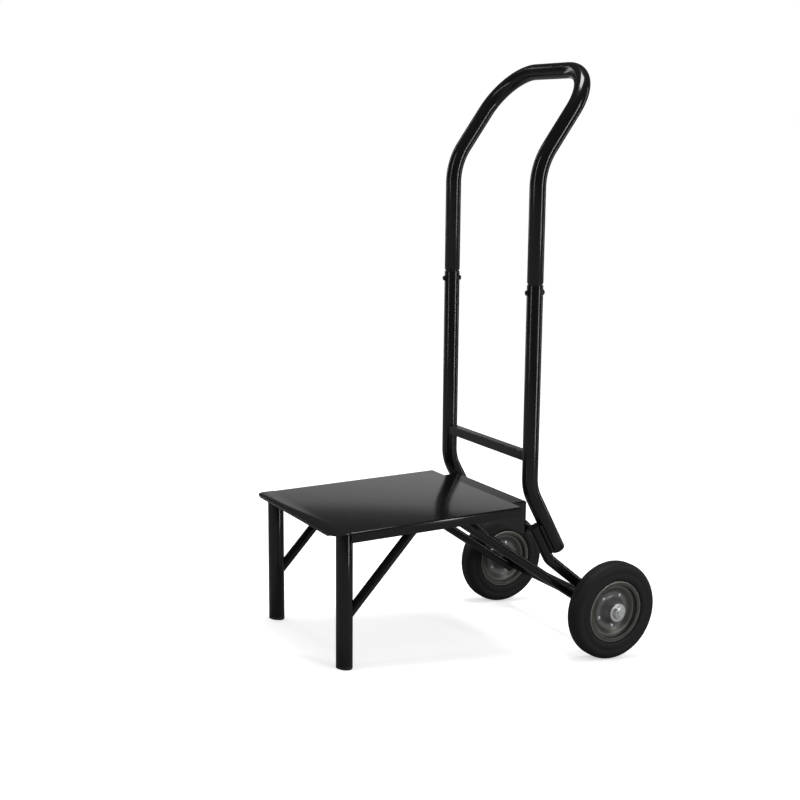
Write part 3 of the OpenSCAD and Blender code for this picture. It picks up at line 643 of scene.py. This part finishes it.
shade = place(tree, "ShaderNodeMix", Factor=1.0)
shade.data_type = "RGBA"
shade.blend_type = "MULTIPLY"
tree.links.new(rim_shade_and_highlight_rings.outputs["Color"], shade.inputs[6])
tree.links.new(film.outputs[0], shade.inputs[7])
tree.links.new(shade.outputs[2], shader.inputs["Base Color"])
glossed(tree, clouds, smooth=0.30, rough=0.46)
bumped(tree, grit, depth=0.00004)

rim_t, lip_x, ring_x = 0.002, 0.016, 0.008
hub_r, web_r, ring_r, rim_seat_r, rim_r = 0.015, 0.03927, 0.04967, 0.05775, 0.06375
rim_bore_r = hub_r + seat_gap
boss_r, boss_x = 0.02847, 0.0165
foot_in, foot_out, foot_rise = 0.0015, 0.0014, 0.0019
section = [
    (rim_bore_r, boss_x - rim_t), (rim_bore_r, boss_x), (rim_bore_r + rim_t, boss_x),
    (boss_r - foot_in, rim_t + foot_rise), (boss_r + foot_out, rim_t), (web_r, rim_t), (ring_r, ring_x),
    (rim_seat_r - rim_t, ring_x), (rim_seat_r - rim_t, lip_x), (rim_r, lip_x), (rim_r, lip_x - rim_t),
    (rim_seat_r, lip_x - rim_t),
    (rim_seat_r, ring_x - rim_t), (ring_r + rim_t / 2, ring_x - rim_t), (web_r + rim_t / 2, seat_gap / 2),
    (boss_r - rim_t / 2, seat_gap / 2),
]


def both_faces(piece):
    """A piece of the left wheel facing out, a copy facing in, and both again on the right wheel."""
    stem = piece.name
    inner = copied(piece, stem + "_inner_left", (0, 0, 0))
    inner.rotation_euler = Vector((-1, 0, 0)).to_track_quat("Z", "Y").to_euler()
    other_inner = copied(piece, stem + "_inner_right", (-2 * wheel_x, 0, 0))
    other_outer = copied(inner, stem + "_outer_right", (-2 * wheel_x, 0, 0))
    piece.name = stem + "_outer_left"
    return (
        (piece, "outer", "left"), (inner, "inner", "left"),
        (other_outer, "outer", "right"), (other_inner, "inner", "right"),
    )


stamping = turned("rim_stamping", section, edge=0.0009, centre=wheel_at, out=(1, 0, 0), steps=96)
for rim, where, hand in both_faces(stamping):
    fit(rim, "wheel_" + hand, "rim_paint", rim_grey, "rim_" + where + "_" + hand)


# Rivets. Five domed steel rivets on each wheel, zinc plated, set cold through both stampings round the
# hub to hold them together.
rivet_count, first_turn, circle_r = 5, math.radians(10), 0.03397
rivet_r, rivet_head_r, rivet_head_h = 0.0025, 0.0045, 0.0022
head_foot = rim_t + seat_gap
dome = [(rivet_head_r * math.cos(a), head_foot + rivet_head_h * math.sin(a)) for a in (0, 0.4, 0.8, 1.2)]
top = [(rivet_r, head_foot), *dome, (0, head_foot + rivet_head_h)]
section = top + [(r, -h) for r, h in reversed(top)]
rivet = turned("rivet", section, edge=0, centre=axle, out=(1, 0, 0), steps=24)
for side, hand in ((1, "left"), (-1, "right")):
    for i in range(rivet_count):
        turn = first_turn + math.tau * i / rivet_count
        away = (side * wheel_x, circle_r * math.sin(turn), -side * circle_r * math.cos(turn))
        one = copied(rivet, "rivet_" + hand + "_" + str(i + 1), away)
        fit(one, "wheel_" + hand, "zinc_plate", zinc, "rim_rivets_" + hand)
bpy.data.objects.remove(rivet)


# Hubs. A plain zinc-plated tube pressed through both stampings, with a flanged black plastic bush pushed
# into each end that runs on the axle.
hub_x, hub_bore_r = 0.0195, 0.013
hub = turned(
    "hub_sleeve", [(hub_bore_r, -hub_x), (hub_r, -hub_x), (hub_r, hub_x), (hub_bore_r, hub_x)],
    edge=0.0004, centre=wheel_at, out=(1, 0, 0),
)
for hub, hand in pair(hub, 2 * wheel_x):
    fit(hub, "wheel_" + hand, "zinc_plate", zinc, "hub_tube_" + hand)
bush_len, bush_flange = 0.014, 0.0015
bush_r, bush_bore_r = hub_bore_r - seat_gap, rod_r + seat_gap
bush_end = hub_x + bush_flange
bush = turned(
    "hub_bush",
    [(bush_bore_r, bush_end - bush_len), (bush_r, bush_end - bush_len), (bush_r, hub_x + seat_gap),
     (hub_r, hub_x + seat_gap), (hub_r, bush_end), (bush_bore_r, bush_end)],
    edge=0.0003, centre=wheel_at, out=(1, 0, 0),
)
for bush, _, hand in both_faces(bush):
    fit(bush, "wheel_" + hand, "black_plastic", plastic_black, "hub_bushes_" + hand)


# Studio. A pale floor under a white surround, a soft box overhead, four strips that draw the long
# highlights on the tubes, and a dim card behind that lifts the top of the platform.
bpy.ops.object.select_all(action="DESELECT")
bpy.ops.mesh.primitive_plane_add(size=24, location=(0, 0, 0))
floor = bpy.context.object
floor.name = "floor"
pale = bpy.data.materials.new("pale_floor")
pale.use_nodes = True
tree = pale.node_tree
tree.nodes.remove(tree.nodes["Principled BSDF"])
seen = place(tree, "ShaderNodeLightPath")
direct = place(tree, "ShaderNodeMath")
direct.operation = "MAXIMUM"
tree.links.new(seen.outputs["Is Camera Ray"], direct.inputs[0])
tree.links.new(seen.outputs["Is Transmission Ray"], direct.inputs[1])
matt = place(tree, "ShaderNodeBsdfDiffuse", Color=(0.25, 0.25, 0.25, 1))
dim = place(tree, "ShaderNodeBsdfDiffuse", Color=(0.9, 0.9, 0.9, 1))
glow = place(tree, "ShaderNodeEmission", Color=(1, 1, 1, 1), Strength=0.51)
lit = place(tree, "ShaderNodeAddShader")
tree.links.new(dim.outputs[0], lit.inputs[0])
tree.links.new(glow.outputs[0], lit.inputs[1])
mixed = place(tree, "ShaderNodeMixShader", Fac=direct.outputs[0])
tree.links.new(matt.outputs[0], mixed.inputs[1])
tree.links.new(lit.outputs[0], mixed.inputs[2])
tree.links.new(mixed.outputs[0], tree.nodes["Material Output"].inputs["Surface"])
floor.data.materials.append(pale)

# The surround is white to the camera, half as bright as a light, and nearly dark in reflections.
world = bpy.data.worlds.new("studio")
bpy.context.scene.world = world
world.use_nodes = True
tree = world.node_tree
seen = place(tree, "ShaderNodeLightPath")
mirrored = place(tree, "ShaderNodeMapRange", Value=seen.outputs["Is Glossy Ray"], To_Min=0.55, To_Max=0.06)
level = place(tree, "ShaderNodeMix", Factor=seen.outputs["Is Camera Ray"], B=1.0)
tree.links.new(mirrored.outputs[0], level.inputs["A"])
surround = tree.nodes["Background"]
surround.inputs["Color"].default_value = (1, 1, 1, 1)
tree.links.new(level.outputs["Result"], surround.inputs["Strength"])


def soft_box(name, place_at, aim, size, power):
    """An area lamp of that width and height, turned to face aim."""
    bpy.ops.object.light_add(type="AREA", location=place_at)
    lamp = bpy.context.object
    lamp.name = name
    lamp.data.shape = "RECTANGLE"
    lamp.data.size, lamp.data.size_y = size
    lamp.data.energy = power
    lamp.rotation_euler = (Vector(aim) - Vector(place_at)).to_track_quat("-Z", "Y").to_euler()


soft_box("overhead_box", place_at=(-0.2, -0.1, 4.2), aim=(0, 0, 0.6), size=(1.4, 1.4), power=76)
soft_box("right_strip", place_at=(2.9, 1.6, 1.3), aim=(0, 0, 1.0), size=(0.22, 2.6), power=28)
soft_box("front_strip", place_at=(0.3, -3.2, 1.5), aim=(0, 0, 1.0), size=(0.18, 2.6), power=13)
soft_box("left_strip", place_at=(-2.8, -0.9, 1.4), aim=(0, 0, 0.9), size=(0.2, 2.6), power=8)
soft_box("back_strip", place_at=(0.6, 3.3, 1.5), aim=(0, 0, 0.9), size=(0.2, 2.6), power=8)
soft_box("back_card", place_at=(-2.6, 1.6, 0.9), aim=(0, -0.15, 0.3), size=(2.0, 0.9), power=2)


# Camera. Stands as the photograph's does, low, in front and to the left, and turned with the frame, so that
# the platform looks level and the uprights plumb.
turn, tilt, roll = math.radians(60.3856), math.radians(10.8478), math.radians(0.4733)
aim, distance = Vector((0, axle.y - 0.38941, 0.550)), 2.68893
right = Vector((math.cos(turn), math.sin(turn), 0))
back = Vector((math.sin(turn) * math.cos(tilt), -math.cos(turn) * math.cos(tilt), math.sin(tilt)))
up = back.cross(right)
right, up = right * math.cos(roll) + up * math.sin(roll), up * math.cos(roll) - right * math.sin(roll)
lens = bpy.data.cameras.new("camera")
lens.lens = 61.358
lens.shift_x, lens.shift_y = 0.00185, -0.00741
lens.clip_end = 60
camera = bpy.data.objects.new("camera", lens)
bpy.context.scene.collection.objects.link(camera)
stand = Matrix((right, up, back)).transposed().to_4x4()
stand.translation = aim + back * distance
camera.matrix_world = lean @ stand
bpy.context.scene.camera = camera
bpy.context.scene.view_settings.view_transform = "Standard"
